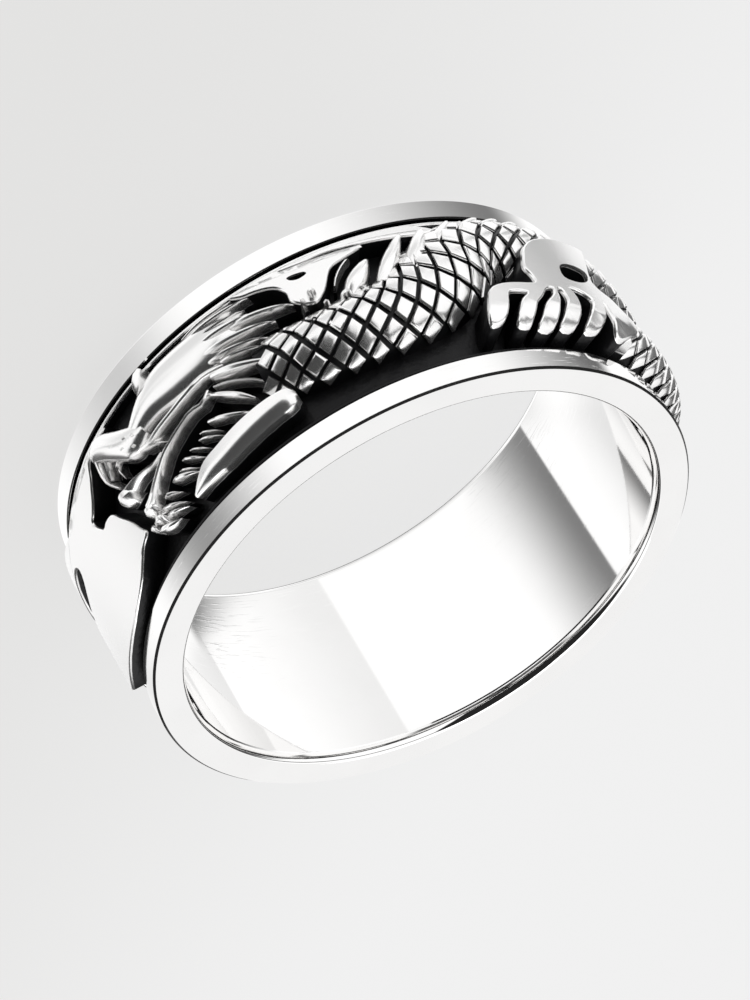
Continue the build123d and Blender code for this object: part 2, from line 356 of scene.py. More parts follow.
class Bench:
    """Small modelling steps that every piece uses."""

    @staticmethod
    def clear_selection() -> None:
        """Leave edit mode and deselect everything."""
        if bpy.context.object and bpy.context.object.mode != "OBJECT":
            bpy.ops.object.mode_set(mode="OBJECT")
        bpy.ops.object.select_all(action="DESELECT")

    @staticmethod
    def pick(piece: bpy.types.Object) -> None:
        """Make a piece the only selected one, and the active one.

        Args:
            piece: The piece to pick.
        """
        Bench.clear_selection()
        piece.select_set(True)
        bpy.context.view_layer.objects.active = piece

    @staticmethod
    def edit(piece: bpy.types.Object) -> None:
        """Pick a piece and select all of its mesh in edit mode.

        Args:
            piece: The piece to edit.
        """
        Bench.pick(piece)
        bpy.ops.object.mode_set(mode="EDIT")
        bpy.ops.mesh.select_all(action="SELECT")

    @staticmethod
    def join(pieces: list[bpy.types.Object], name: str) -> bpy.types.Object:
        """Join pieces.

        Args:
            pieces: The pieces, the first of which takes the others in.
            name: The name of what they become.

        Returns:
            The joined piece.
        """
        Bench.pick(pieces[0])
        for piece in pieces:
            piece.select_set(True)
        bpy.ops.object.join()
        joined = bpy.context.object
        joined.name = joined.data.name = name
        return joined

    @staticmethod
    def smooth(piece: bpy.types.Object, crease: float) -> None:
        """Shade a piece smooth except at edges that bend by more degrees than a crease."""
        Bench.pick(piece)
        bpy.ops.object.shade_smooth_by_angle(angle=radians(crease))

    @staticmethod
    def face_out(piece: bpy.types.Object) -> None:
        """Merge a piece's doubled points and turn its faces outwards.

        Args:
            piece: The piece to mend.
        """
        Bench.edit(piece)
        bpy.ops.mesh.remove_doubles(threshold=MERGE_DISTANCE)
        bpy.ops.mesh.normals_make_consistent(inside=False)
        bpy.ops.object.mode_set(mode="OBJECT")

    @staticmethod
    def write_polish(piece: bpy.types.Object, values: list[float]) -> None:
        """Write how polished each point of a piece is; on the sleeve the low values also paint shade.

        Args:
            piece: The piece, in object mode.
            values: A value for each of its points, 1 or more where it is bright.
        """
        polish = piece.data.attributes.new(POLISH_AND_SHADE, "FLOAT", "POINT")
        polish.data.foreach_set("value", values)
        piece.data.update()

    @staticmethod
    def turned(name: str, outline: list[tuple[float, float]], steps: int) -> bpy.types.Object:
        """Turn an outline round the finger's axis.

        Args:
            name: The piece's name.
            outline: Radius and height of each corner, in order round the section.
            steps: How many steps the full turn takes.

        Returns:
            The turned piece, closed and facing outwards.
        """
        Bench.clear_selection()
        first_radius, first_height = outline[0]
        bpy.ops.mesh.primitive_plane_add(size=SEED_SIZE, location=(0, 0, 0))
        piece = bpy.context.object
        piece.name = name
        Bench.edit(piece)
        bpy.ops.mesh.merge(type="CENTER")
        bpy.ops.transform.translate(value=(first_radius, 0, first_height))
        for (radius, height), (next_radius, next_height) in zip(outline, outline[1:]):
            step = (next_radius - radius, 0, next_height - height)
            bpy.ops.mesh.extrude_region_move(TRANSFORM_OT_translate={"value": step})
        bpy.ops.mesh.select_all(action="SELECT")
        bpy.ops.mesh.edge_face_add()
        bpy.ops.mesh.delete(type="ONLY_FACE")
        bpy.ops.mesh.select_all(action="SELECT")
        bpy.ops.mesh.spin(steps=steps, angle=2 * pi, center=(0, 0, 0), axis=(0, 0, 1))
        Bench.face_out(piece)
        return piece


class Section(NamedTuple):
    """A station of a form: its place, its width across the trail and its height."""

    angle: float
    level: float
    width: float
    height: float

    def toward(self, other: "Section", share: float) -> "Section":
        """Return the section at a share of the way to another."""
        return Section(*(mine + (theirs - mine) * share for mine, theirs in zip(self, other)))


def path(*rows: tuple[float, float, float, float]) -> tuple[Section, ...]:
    """Return the sections of rows of angle, level, width and height."""
    return tuple(Section(*row) for row in rows)


def smoothed(rows: list[tuple], steps: int) -> list[tuple]:
    """Return points on the smooth curve through rows of values.

    Args:
        rows: The rows. The first and the last only bend the curve, which doesn't reach them.
        steps: How many points there are from one row to the next.

    Returns:
        The points, from the second row up to the last but one, which isn't among them.
    """
    points = []
    for four in zip(rows, rows[1:], rows[2:], rows[3:]):
        for step in range(steps):
            t = step / steps
            point = []
            for before, start, end, after in zip(*four):
                leaving, arriving = (end - before) / 2, (after - start) / 2
                bend = 3 * (end - start) - 2 * leaving - arriving
                twist = 2 * (start - end) + leaving + arriving
                point.append(((twist * t + bend) * t + leaving) * t + start)
            points.append(tuple(point))
    return points


class Trail:
    """A smooth path on the band through a few sections."""

    steps: int = 8

    def __init__(self, size: RingSize, sections: tuple[Section, ...], upright: bool = False) -> None:
        """Smooth the path and measure it.

        Args:
            size: The ring's sizes.
            sections: Two or more stations of the path.
            upright: Whether what is laid along it stands straight across the band.
        """
        self.size = size
        self.upright = upright
        self.stops = list(sections)
        if len(sections) > 2:
            rows = smoothed([sections[0], *sections, sections[-1]], self.steps)
            self.stops = [*path(*rows), sections[-1]]
        self.reach = [0.0]
        for start, end in zip(self.stops, self.stops[1:]):
            self.reach.append(self.reach[-1] + hypot(*self._run(start, end)))

    @property
    def length(self) -> float:
        """Return the path's length."""
        return self.reach[-1]

    def _run(self, start: Section, end: Section) -> tuple[float, float]:
        """Return the way between two sections round the rim and across the band."""
        round_rim = radians(end.angle - start.angle) * self.size.rim_radius
        return round_rim, (end.level - start.level) * self.size.band_width

    def at(self, distance: float) -> tuple[Section, tuple[float, float]]:
        """Return the path's state at a distance.

        Args:
            distance: How far along the path.

        Returns:
            The section there, and the heading round the rim and across the band.
        """
        index = min(max(bisect_right(self.reach, distance) - 1, 0), len(self.stops) - 2)
        start, end = self.stops[index], self.stops[index + 1]
        share = (distance - self.reach[index]) / (self.reach[index + 1] - self.reach[index])
        run = self._run(self.stops[max(index - 1, 0)], self.stops[min(index + 2, len(self.stops) - 1)])
        length = hypot(*run)
        return start.toward(end, share), (run[0] / length, run[1] / length)

    def spread(self, distance: float) -> tuple[float, float]:
        """Return the half width and the height at a distance, in metres."""
        section, _ = self.at(distance)
        return section.width * self.size.band_width / 2, section.height * self.size.relief_height

    def lay(self, distance: float, across: float, rise: float) -> Vector:
        """Return the ring point of a straight blank's point.

        Args:
            distance: How far along the trail.
            across: How far to the left of the trail's heading.
            rise: How far above the band's floor.

        Returns:
            The point in the ring's frame.
        """
        section, heading = self.at(distance)
        heading_round, heading_up = (1.0, 0.0) if self.upright else heading
        angle = section.angle - degrees(across * heading_up / self.size.rim_radius)
        level = section.level * self.size.band_width + across * heading_round
        return self.size.wrap(angle, self.size.kept_in(level), rise)


class Cut(Enum):
    """How a form is rounded across."""

    DOME = "dome"
    STRIP = "strip"
    ROOF = "roof"

    def shaped(self, across: float, rise: float) -> tuple[float, float]:
        """Return where a point of the half round lies on this cut.

        Args:
            across: Place across the form, from -1 to 1.
            rise: Height of the half round there, from 0 to 1.

        Returns:
            The place across and the height on this cut.
        """
        if self is Cut.DOME:
            return across, rise
        if self is Cut.STRIP:
            squareness, fullness = 0.7, 0.5
            return copysign(abs(across) ** squareness, across), rise**fullness
        ridge_line, steepness, fall = 0.1, 6.0, 0.24
        if across < ridge_line:
            return across, min(1.0, (1.0 + across) * steepness)
        return across, 1.0 - fall * ((across - ridge_line) / (1.0 - ridge_line)) ** 2


@dataclass
class Form:
    """One ridge of the relief, modelled as a straight blank and laid along its trail.

    Its polish starts at dark_below and is full at bright_above, both shares of its height.
    """

    name: str
    sections: tuple[Section, ...]
    cut: Cut = Cut.DOME
    pitch: float = 0.3 * MM
    dark_below: float = 0.4
    bright_above: float = 0.66
    corners: int = 20
    foot: float = 0.1
    upright: bool = False

    def build(self, size: RingSize) -> bpy.types.Object:
        """Model the blank, lay it along its trail and write how polished it is.

        Args:
            size: The ring's sizes.

        Returns:
            The form in its place on the band.
        """
        trail = Trail(size, self.sections, self.upright)
        piece = self._blank(trail)
        polish = []
        for vertex in piece.data.vertices:
            x, y, z = vertex.co
            half_width, crest = trail.spread(x)
            across, rise = self.cut.shaped(y / half_width, z / crest) if z > 0 else (y / half_width, 0.0)
            polish.append((rise - self.dark_below) / (self.bright_above - self.dark_below))
            vertex.co = trail.lay(x, across * half_width, crest * rise if z > 0 else -size.rooting)
        Bench.write_polish(piece, polish)
        return piece

    def _blank(self, trail: Trail) -> bpy.types.Object:
        """Sweep a round along X, on a flat foot.

        Args:
            trail: The trail that gives the widths and heights.

        Returns:
            The straight blank.
        """
        stations = max(2, ceil(trail.length / self.pitch) + 1)
        step = trail.length / (stations - 1)
        facing_along = (0, pi / 2, 0)
        Bench.clear_selection()
        bpy.ops.mesh.primitive_circle_add(
            vertices=self.corners, radius=1.0, fill_type="NGON", rotation=facing_along
        )
        piece = bpy.context.object
        piece.name = self.name
        bpy.ops.object.transform_apply(location=False, rotation=True, scale=False)
        Bench.edit(piece)
        bpy.ops.mesh.bisect(plane_co=(0, 0, -self.foot), plane_no=(0, 0, 1), clear_inner=True)
        bpy.ops.mesh.select_all(action="SELECT")
        width, height = trail.spread(0.0)
        bpy.ops.transform.resize(value=(1, width, height), center_override=(0, 0, 0))
        for station in range(1, stations):
            next_width, next_height = trail.spread(station * step)
            bpy.ops.mesh.extrude_region_move(TRANSFORM_OT_translate={"value": (step, 0, 0)})
            grow = (1, next_width / width, next_height / height)
            bpy.ops.transform.resize(value=grow, center_override=(station * step, 0, 0))
            width, height = next_width, next_height
        bpy.ops.object.mode_set(mode="OBJECT")
        return piece


@dataclass
class Plate:
    """A flat-topped plate of the relief, told by its outline of angles and levels.

    The steps of its rounded edge are told as shares of the shoulder and of its drop. Levels above
    droop_from bend down, by the share droop at droop_over beyond it.
    """

    name: str
    outline: tuple[tuple[float, float], ...]
    height: float
    hollows: tuple = ()
    shoulder: float = 0.045 * MM
    shoulder_drop: float = 0.05 * MM
    edge_steps: tuple = ((0.5, 1.3), (1.0, 0.7), (0.4, 0.0))
    strip: float = 2.5
    smoothing: int = 3
    droop: float = 0.0
    droop_from: float = 0.84
    droop_over: float = 0.11
    dark_below: float = 0.85
    polish_gain: float = 9.0

    def build(self, size: RingSize) -> bpy.types.Object:
        """Model the plate flat, hollow it and wrap it round the band.

        Args:
            size: The ring's sizes.

        Returns:
            The plate in its place on the band.
        """
        top = self.height * size.relief_height
        piece = self._prism(size, self.name, self.outline, top - 2 * self.shoulder_drop)
        for wide, deep in self.edge_steps:
            bpy.ops.mesh.inset(thickness=self.shoulder * wide, depth=self.shoulder_drop * deep)
        Bench.face_out(piece)
        for hollow in self.hollows:
            self._drill(size, piece, hollow, 2 * top)
        self._slice(size, piece)
        self._lay(size, piece, top)
        return piece

    def _prism(self, size: RingSize, name: str, outline: tuple, top: float) -> bpy.types.Object:
        """Raise a smooth outline to a prism.

        Args:
            size: The ring's sizes.
            name: The prism's name.
            outline: Its outline of angles and levels.
            top: Its height above the band's floor.

        Returns:
            The prism, in edit mode with its top face selected.
        """
        points = smoothed([outline[-1], *outline, *outline[:2]], self.smoothing)
        Bench.clear_selection()
        bpy.ops.mesh.primitive_circle_add(vertices=len(points), radius=1.0, fill_type="NGON")
        piece = bpy.context.object
        piece.name = name
        for vertex, (angle, level) in zip(piece.data.vertices, points):
            vertex.co = (radians(angle) * size.rim_radius, level * size.band_width, -size.rooting)
        Bench.edit(piece)
        bpy.ops.mesh.normals_make_consistent(inside=False)
        cage = bmesh.from_edit_mesh(piece.data)
        cage.normal_update()
        if all(face.normal.z < 0 for face in cage.faces):
            bpy.ops.mesh.flip_normals()
        raised = {"value": (0, 0, top + size.rooting)}
        bpy.ops.mesh.extrude_region_move(TRANSFORM_OT_translate=raised)
        return piece

    def _drill(self, size: RingSize, piece: bpy.types.Object, hollow: tuple, top: float) -> None:
        """Cut a hollow through the flat plate.

        Args:
            size: The ring's sizes.
            piece: The flat plate.
            hollow: The hollow's outline of angles and levels.
            top: The cutter's height, which is doubled so that it passes both faces.
        """
        cutter = self._prism(size, "cutter", hollow, top)
        bpy.ops.object.mode_set(mode="OBJECT")
        for vertex in cutter.data.vertices:
            vertex.co.z *= 2
        Bench.face_out(cutter)
        cut = piece.modifiers.new("hollow", "BOOLEAN")
        cut.operation = "DIFFERENCE"
        cut.object = cutter
        Bench.pick(piece)
        bpy.ops.object.modifier_apply(modifier="hollow")
        bpy.data.objects.remove(cutter)

    def _slice(self, size: RingSize, piece: bpy.types.Object) -> None:
        """Cut the plate into strips narrow enough to follow the ring.

        Args:
            size: The ring's sizes.
            piece: The flat plate.
        """
        angles = [angle for angle, _ in self.outline]
        first, last = floor(min(angles) / self.strip), ceil(max(angles) / self.strip)
        Bench.edit(piece)
        bpy.ops.mesh.quads_convert_to_tris(ngon_method="BEAUTY")
        for index in range(first, last + 1):
            place = (radians(index * self.strip) * size.rim_radius, 0, 0)
            bpy.ops.mesh.select_all(action="SELECT")
            bpy.ops.mesh.bisect(plane_co=place, plane_no=(1, 0, 0))
        bpy.ops.object.mode_set(mode="OBJECT")

    def _lay(self, size: RingSize, piece: bpy.types.Object, top: float) -> None:
        """Wrap the flat plate round the band and write how polished it is.

        Args:
            size: The ring's sizes.
            piece: The flat plate.
            top: The height of its top above the band's floor.
        """
        polish = []
        for vertex in piece.data.vertices:
            x, y, z = vertex.co
            polish.append((z / top - self.dark_below) * self.polish_gain)
            beyond = max(0.0, y / size.band_width - self.droop_from) / self.droop_over
            lowered = z * (1 - self.droop * beyond**2) if z > 0 else z
            vertex.co = size.wrap(degrees(x / size.rim_radius), size.kept_in(y), lowered)
        Bench.write_polish(piece, polish)


Forms = tuple[Form | Plate, ...]


def ridge(name: str, cut: Cut, *rows: tuple[float, float, float, float]) -> Form:
    """Return a form through rows of angle, level, width and height."""
    return Form(name, path(*rows), cut)


def slab(name: str, cut: Cut, *slices: tuple[float, float, float, float]) -> Form:
    """Return an upright form through slices of angle, low level, high level and height."""
    rows = [(angle, (low + high) / 2, high - low, height) for angle, low, high, height in slices]
    return Form(name, path(*rows), cut, pitch=0.2 * MM, upright=True)


def blade(name: str, root: tuple, tip: tuple, width: float, height: float, bow: float = 0.0) -> Form:
    """Return a strip that swells from its root and ends in a point.

    Args:
        name: The form's name.
        root: Angle and level of its root.
        tip: Angle and level of its tip.
        width: Its widest share of the band.
        height: Its highest share of the relief.
        bow: How far its middle bows to higher levels, as a share of the band.

    Returns:
        The form.
    """
    profile = ((0.0, 0.72, 0.86), (0.3, 1.0, 1.0), (0.65, 0.8, 0.96), (0.9, 0.36, 0.85), (1.0, 0.1, 0.7))
    rows = []
    for along, wide, high in profile:
        angle = root[0] + (tip[0] - root[0]) * along
        level = root[1] + (tip[1] - root[1]) * along + bow * sin(pi * along)
        rows.append((angle, level, width * wide, height * high))
    return ridge(name, Cut.STRIP, *rows)


def blades(name: str, *rows: tuple) -> tuple[Form, ...]:
    """Return numbered blades from rows of root, tip, width, height and, where there is one, bow."""
    return tuple(blade(f"{name}_{index}", *row) for index, row in enumerate(rows))


def bead(name: str, angle: float, level: float, length: float, width: float, height: float) -> Form:
    """Return an oval dome.

    Args:
        name: The form's name.
        angle: Degrees of its middle.
        level: Level of its middle.
        length: Its length round the ring, as a share of the band's width.
        width: Its width, as a share of the band's width.
        height: Its height, as a share of the relief's.

    Returns:
        The form.
    """
    stations, cut_off, degrees_per_length = 7, 0.35, 18.0
    rows = []
    for station in range(stations):
        turn = pi * (station + cut_off) / (stations - 1 + 2 * cut_off)
        middle = angle - length * degrees_per_length * cos(turn)
        rows.append((middle, level, width * sin(turn), height * sin(turn) ** 0.5))
    return Form(name, path(*rows), pitch=0.12 * MM, corners=14)


def beads(name: str, *rows: tuple) -> tuple[Form, ...]:
    """Return numbered beads from rows of angle, level, length, width and height."""
    return tuple(bead(f"{name}_{index}", *row) for index, row in enumerate(rows))


@dataclass
class ScaledBody:
    """The dragon's body: a dark dome carrying rows of polished lozenge scales.

    The scale is modelled in a unit cell, where the dome's surface is at the height sunk and polish
    starts at dark_below. Its crown is told by the width and the height of each step. Scales are
    laid down to the angle flank, in degrees from the dome's top, and are lower where the body is
    narrower than full_width.
    """

    size: RingSize
    scale_length: float = 0.92 * MM
    lozenge_rows: int = 4
    lean: float = -0.32
    dome_width: float = 0.94
    dome_height: float = 0.86
    dome_pitch: float = 0.4 * MM
    scale_rise: float = 0.2 * MM
    groove: float = 0.2 * MM
    row_groove: float = 1.3
    least_scale: float = 0.4
    corner: float = 0.16
    crown: tuple = ((0.09, 0.28), (0.12, 0.05), (0.25, 0.0))
    flank: float = 84.0
    flank_arc: float = 1.1
    scale_height: float = 0.93
    sunk: float = 0.9
    full_width: float = 0.34
    dark_below: float = 0.86
    polish_gain: float = 5.0
    sections: tuple = path(
        (5.5, 0.57, 0.38, 0.84), (0, 0.585, 0.41, 0.90), (-6, 0.61, 0.43, 0.95), (-14, 0.612, 0.45, 1.00),
        (-20, 0.605, 0.46, 1.00), (-25, 0.572, 0.49, 1.00), (-30, 0.51, 0.53, 1.00), (-35, 0.42, 0.53, 1.00),
        (-40, 0.32, 0.50, 0.98), (-46, 0.27, 0.47, 0.96), (-56, 0.26, 0.45, 0.93), (-70, 0.27, 0.44, 0.90),
        (-88, 0.32, 0.44, 0.92), (-106, 0.48, 0.44, 0.96), (-126, 0.62, 0.44, 1.00), (-146, 0.60, 0.42, 0.98),
        (-166, 0.44, 0.38, 0.94), (-186, 0.34, 0.34, 0.88), (-206, 0.40, 0.30, 0.82),
        (-226, 0.54, 0.26, 0.76), (-244, 0.58, 0.22, 0.70), (-262, 0.46, 0.18, 0.64),
    )

    def build(self) -> list[bpy.types.Object]:
        """Model the body.

        Returns:
            The dome and its scales.
        """
        rows = [
            (angle, level, width * self.dome_width, height * self.dome_height)
            for angle, level, width, height in self.sections
        ]
        all_dark = {"dark_below": 2.0, "bright_above": 3.0}
        dome = Form("body_dome", path(*rows), pitch=self.dome_pitch, **all_dark)
        return [dome.build(self.size), self._scales(Trail(self.size, self.sections))]

    def _scales(self, trail: Trail) -> bpy.types.Object:
        """Model one scale, copy it over the body and lay every copy on the dome.

        Args:
            trail: The body's trail.

        Returns:
            The joined scales.
        """
        pattern = self._lozenge()
        half_length = self.scale_length / 2
        half_rows = 1.0 / self.lozenge_rows
        copies = []
        for column in range(1, int(trail.length / half_length)):
            for row in range(-self.lozenge_rows + 1, self.lozenge_rows):
                if (column + row) % 2:
                    copy = pattern.copy()
                    copy.data = pattern.data.copy()
                    bpy.context.collection.objects.link(copy)
                    self._lay_scale(copy, trail, column * half_length, row * half_rows, half_rows)
                    copies.append(copy)
        bpy.data.objects.remove(pattern)
        return Bench.join(copies, "body_scales")

    def _lozenge(self) -> bpy.types.Object:
        """Model the scale in a unit cell.

        Returns:
            A lozenge with bevelled corners and a low crown.
        """
        steep, facing_up = 0.5, 0.9
        Bench.clear_selection()
        bpy.ops.mesh.primitive_cylinder_add(vertices=4, radius=1.0, depth=1.0, location=(0, 0, 0.5))
        piece = bpy.context.object
        bpy.ops.object.transform_apply(location=True, rotation=True, scale=True)
        bpy.ops.object.mode_set(mode="EDIT")
        bpy.ops.mesh.select_all(action="DESELECT")
        cage = bmesh.from_edit_mesh(piece.data)
        for edge in cage.edges:
            edge.select = abs(edge.verts[0].co.z - edge.verts[1].co.z) > steep
        cage.select_flush(True)
        bmesh.update_edit_mesh(piece.data)
        bpy.ops.mesh.bevel(offset=self.corner, segments=2, affect="EDGES")
        bpy.ops.mesh.select_all(action="DESELECT")
        cage = bmesh.from_edit_mesh(piece.data)
        for face in cage.faces:
            face.select = face.normal.z > facing_up
        cage.select_flush(True)
        bmesh.update_edit_mesh(piece.data)
        for wide, high in self.crown:
            bpy.ops.mesh.inset(thickness=wide, depth=high)
        bpy.ops.object.mode_set(mode="OBJECT")
        return piece

    def _lay_scale(
        self, piece: bpy.types.Object, trail: Trail, middle: float, row: float, half_row: float
    ) -> None:
        """Lay a copy of the scale on the dome.

        Args:
            piece: The copy, still in its unit cell.
            trail: The body's trail.
            middle: Distance of the scale's middle along the trail.
            row: Its place round the dome, from -1 at one foot to 1 at the other.
            half_row: Half the length of a scale round the dome.
        """
        half_length = self.scale_length / 2
        half_width, _ = trail.spread(middle)
        arc = half_width * pi / 2 * self.flank_arc
        slim = max(self.least_scale, 1 - self.groove / (2 * half_length))
        tall = max(self.least_scale, 1 - self.groove * self.row_groove / (2 * half_row * arc))
        polish = []
        for vertex in piece.data.vertices:
            x, y, z = vertex.co
            turn = (row + y * half_row * tall) * radians(self.flank)
            distance = middle + x * half_length * slim - self.lean * half_width * turn
            section, _ = trail.at(distance)
            half_width, crest = trail.spread(distance)
            lift = (z - self.sunk) * self.scale_rise * min(1.0, section.width / self.full_width)
            across = half_width * sin(turn) + lift * sin(turn)
            rise = crest * self.scale_height * cos(turn) + lift * cos(turn)
            polish.append((z - self.dark_below) * self.polish_gain)
            vertex.co = trail.lay(distance, across, max(rise, -self.size.rooting))
        Bench.write_polish(piece, polish)


@dataclass
class Relief:
    """A part of the dragon that is a handful of forms."""

    size: RingSize
    forms: Forms = ()

    def build(self) -> list[bpy.types.Object]:
        """Return the modelled forms."""
        return [form.build(self.size) for form in self.forms]


@dataclass
class Skull(Relief):
    """The forehead, eye and nose, and the band of the upper lip."""

    forms: Forms = (
        slab("forehead", Cut.STRIP, (2.5, 0.20, 0.24, 0.40), (6, 0.12, 0.29, 0.60), (9, 0.085, 0.37, 0.68),
             (13, 0.085, 0.41, 0.74), (18, 0.09, 0.41, 0.78), (22, 0.10, 0.395, 0.80), (25, 0.13, 0.38, 0.82),
             (28, 0.18, 0.38, 0.84), (31, 0.24, 0.39, 0.82), (33.5, 0.29, 0.37, 0.76)),
        slab("nose", Cut.STRIP, (29.5, 0.31, 0.41, 0.78), (32, 0.26, 0.45, 0.86), (35, 0.20, 0.445, 0.90),
             (38, 0.135, 0.375, 0.90), (40.5, 0.10, 0.30, 0.86), (42.6, 0.115, 0.24, 0.80),
             (43.8, 0.16, 0.21, 0.70)),
        ridge("eye", Cut.DOME, (24.6, 0.055, 0.03, 0.70), (25.3, 0.085, 0.065, 0.82), (26, 0.12, 0.075, 0.86),
              (26.8, 0.155, 0.065, 0.82), (27.4, 0.185, 0.03, 0.70)),
        ridge("upper_lip", Cut.STRIP, (10.5, 0.405, 0.05, 0.62), (15, 0.392, 0.06, 0.72),
              (19.5, 0.42, 0.055, 0.78), (23, 0.44, 0.05, 0.80), (26.8, 0.455, 0.05, 0.82),
              (29.7, 0.47, 0.05, 0.82), (32, 0.45, 0.045, 0.80)),
        blade("lip_spur", (30, 0.475), (27.4, 0.51), 0.035, 0.74),
        *beads("nose_bump", (31.6, 0.36, 0.05, 0.05, 0.93), (33.4, 0.33, 0.05, 0.04, 0.96),
               (34.8, 0.37, 0.05, 0.045, 0.95), (32.6, 0.41, 0.05, 0.04, 0.90),
               (36.6, 0.30, 0.05, 0.04, 0.97)),
    )


@dataclass
class Jaw(Relief):
    """The jaw's edge, the tongue, the fangs and teeth, the chin and the cheek."""

    forms: Forms = (
        *blades("tooth",
                ((18.6, 0.61), (10.0, 0.75), 0.042, 0.62), ((21.2, 0.625), (17.2, 0.70), 0.020, 0.58),
                ((22.0, 0.655), (17.2, 0.738), 0.022, 0.60), ((24.6, 0.655), (20.8, 0.735), 0.022, 0.58),
                ((26.8, 0.67), (22.6, 0.755), 0.032, 0.62), ((28.6, 0.70), (25.0, 0.765), 0.024, 0.58),
                ((30.6, 0.72), (24.8, 0.80), 0.050, 0.66), ((33.8, 0.745), (30.4, 0.795), 0.040, 0.66),
                ((35.8, 0.785), (30.6, 0.86), 0.040, 0.66), ((35.6, 0.84), (30.8, 0.89), 0.036, 0.64)),
        ridge("jaw_edge", Cut.STRIP, (15.4, 0.47, 0.035, 0.62), (17.5, 0.522, 0.045, 0.70),
              (19.9, 0.515, 0.045, 0.74), (22.5, 0.535, 0.04, 0.76), (25.2, 0.56, 0.04, 0.78),
              (28.3, 0.59, 0.045, 0.80), (30.5, 0.625, 0.045, 0.80), (33, 0.67, 0.045, 0.80),
              (35.6, 0.715, 0.055, 0.80), (37.2, 0.725, 0.07, 0.78)),
        bead("chin_ball", 37.4, 0.735, 0.12, 0.11, 0.80),
        *blades("chin_facet",
                ((38.6, 0.80), (34.2, 0.83), 0.07, 0.70), ((38.4, 0.85), (33.6, 0.90), 0.06, 0.66, 0.02),
                ((36.6, 0.78), (35.4, 0.90), 0.05, 0.74), ((40.0, 0.78), (38.4, 0.88), 0.05, 0.66)),
        ridge("tongue", Cut.DOME, (29.6, 0.53, 0.03, 0.58), (32, 0.55, 0.05, 0.66), (34.9, 0.535, 0.06, 0.72),
              (37.5, 0.525, 0.085, 0.76), (40, 0.53, 0.12, 0.80)),
        bead("tongue_tip", 40.7, 0.54, 0.15, 0.15, 0.86),
        ridge("fang_long", Cut.STRIP, (43.2, 0.18, 0.03, 0.70), (44.1, 0.28, 0.032, 0.66),
              (43.7, 0.36, 0.03, 0.64), (42.0, 0.44, 0.026, 0.62)),
        ridge("fang_short", Cut.STRIP, (41.0, 0.24, 0.03, 0.70), (41.9, 0.31, 0.03, 0.66),
              (42.8, 0.36, 0.022, 0.62)),
        blade("fang_back", (39.4, 0.31), (40.5, 0.41), 0.028, 0.64),
        ridge("throat_lock", Cut.STRIP, (15.6, 0.495, 0.03, 0.60), (13, 0.565, 0.055, 0.68),
              (10.5, 0.635, 0.05, 0.68), (8.6, 0.70, 0.02, 0.60)),
        ridge("throat_line", Cut.STRIP, (14.2, 0.47, 0.022, 0.58), (10.5, 0.525, 0.03, 0.62),
              (7.0, 0.60, 0.03, 0.62), (5.0, 0.67, 0.02, 0.58)),
        slab("cheek", Cut.ROOF, (2.0, 0.795, 0.84, 0.56), (3.4, 0.765, 0.885, 0.70), (8, 0.757, 0.90, 0.74),
             (14, 0.768, 0.915, 0.74), (19, 0.787, 0.925, 0.72), (22.5, 0.80, 0.92, 0.70),
             (25, 0.83, 0.915, 0.64), (28.2, 0.885, 0.905, 0.52)),
    )


@dataclass
class Mane(Relief):
    """Locks of hair that run back from the forehead."""

    forms: Forms = blades(
        "lock",
        ((15, 0.095), (1.8, 0.082), 0.036, 0.62), ((15, 0.135), (0.0, 0.128), 0.044, 0.70),
        ((14, 0.18), (2.2, 0.178), 0.036, 0.70), ((14, 0.22), (0.8, 0.232), 0.050, 0.74),
        ((13.5, 0.29), (-1.6, 0.355), 0.062, 0.80), ((6.0, 0.24), (-6.2, 0.315), 0.056, 0.74),
        ((12.5, 0.35), (1.0, 0.42), 0.046, 0.80), ((10.6, 0.39), (1.6, 0.472), 0.040, 0.78),
        ((13.4, 0.43), (1.2, 0.59), 0.066, 0.84),
    )


@dataclass
class Beads(Relief):
    """Small beads and round scales along the body's lower edge."""

    forms: Forms = beads(
        "bead",
        (-9.5, 0.335, 0.07, 0.07, 0.9), (-7.4, 0.36, 0.05, 0.05, 0.9), (-14.7, 0.44, 0.09, 0.09, 0.9),
        (-10.8, 0.445, 0.055, 0.055, 0.9), (-4.6, 0.545, 0.085, 0.085, 0.9), (-9.4, 0.585, 0.075, 0.075, 0.9),
        (-12.2, 0.52, 0.07, 0.07, 0.9), (-7.4, 0.50, 0.06, 0.06, 0.9), (-18.0, 0.47, 0.06, 0.06, 0.9),
        (-29.0, 0.42, 0.06, 0.06, 0.9),
    )


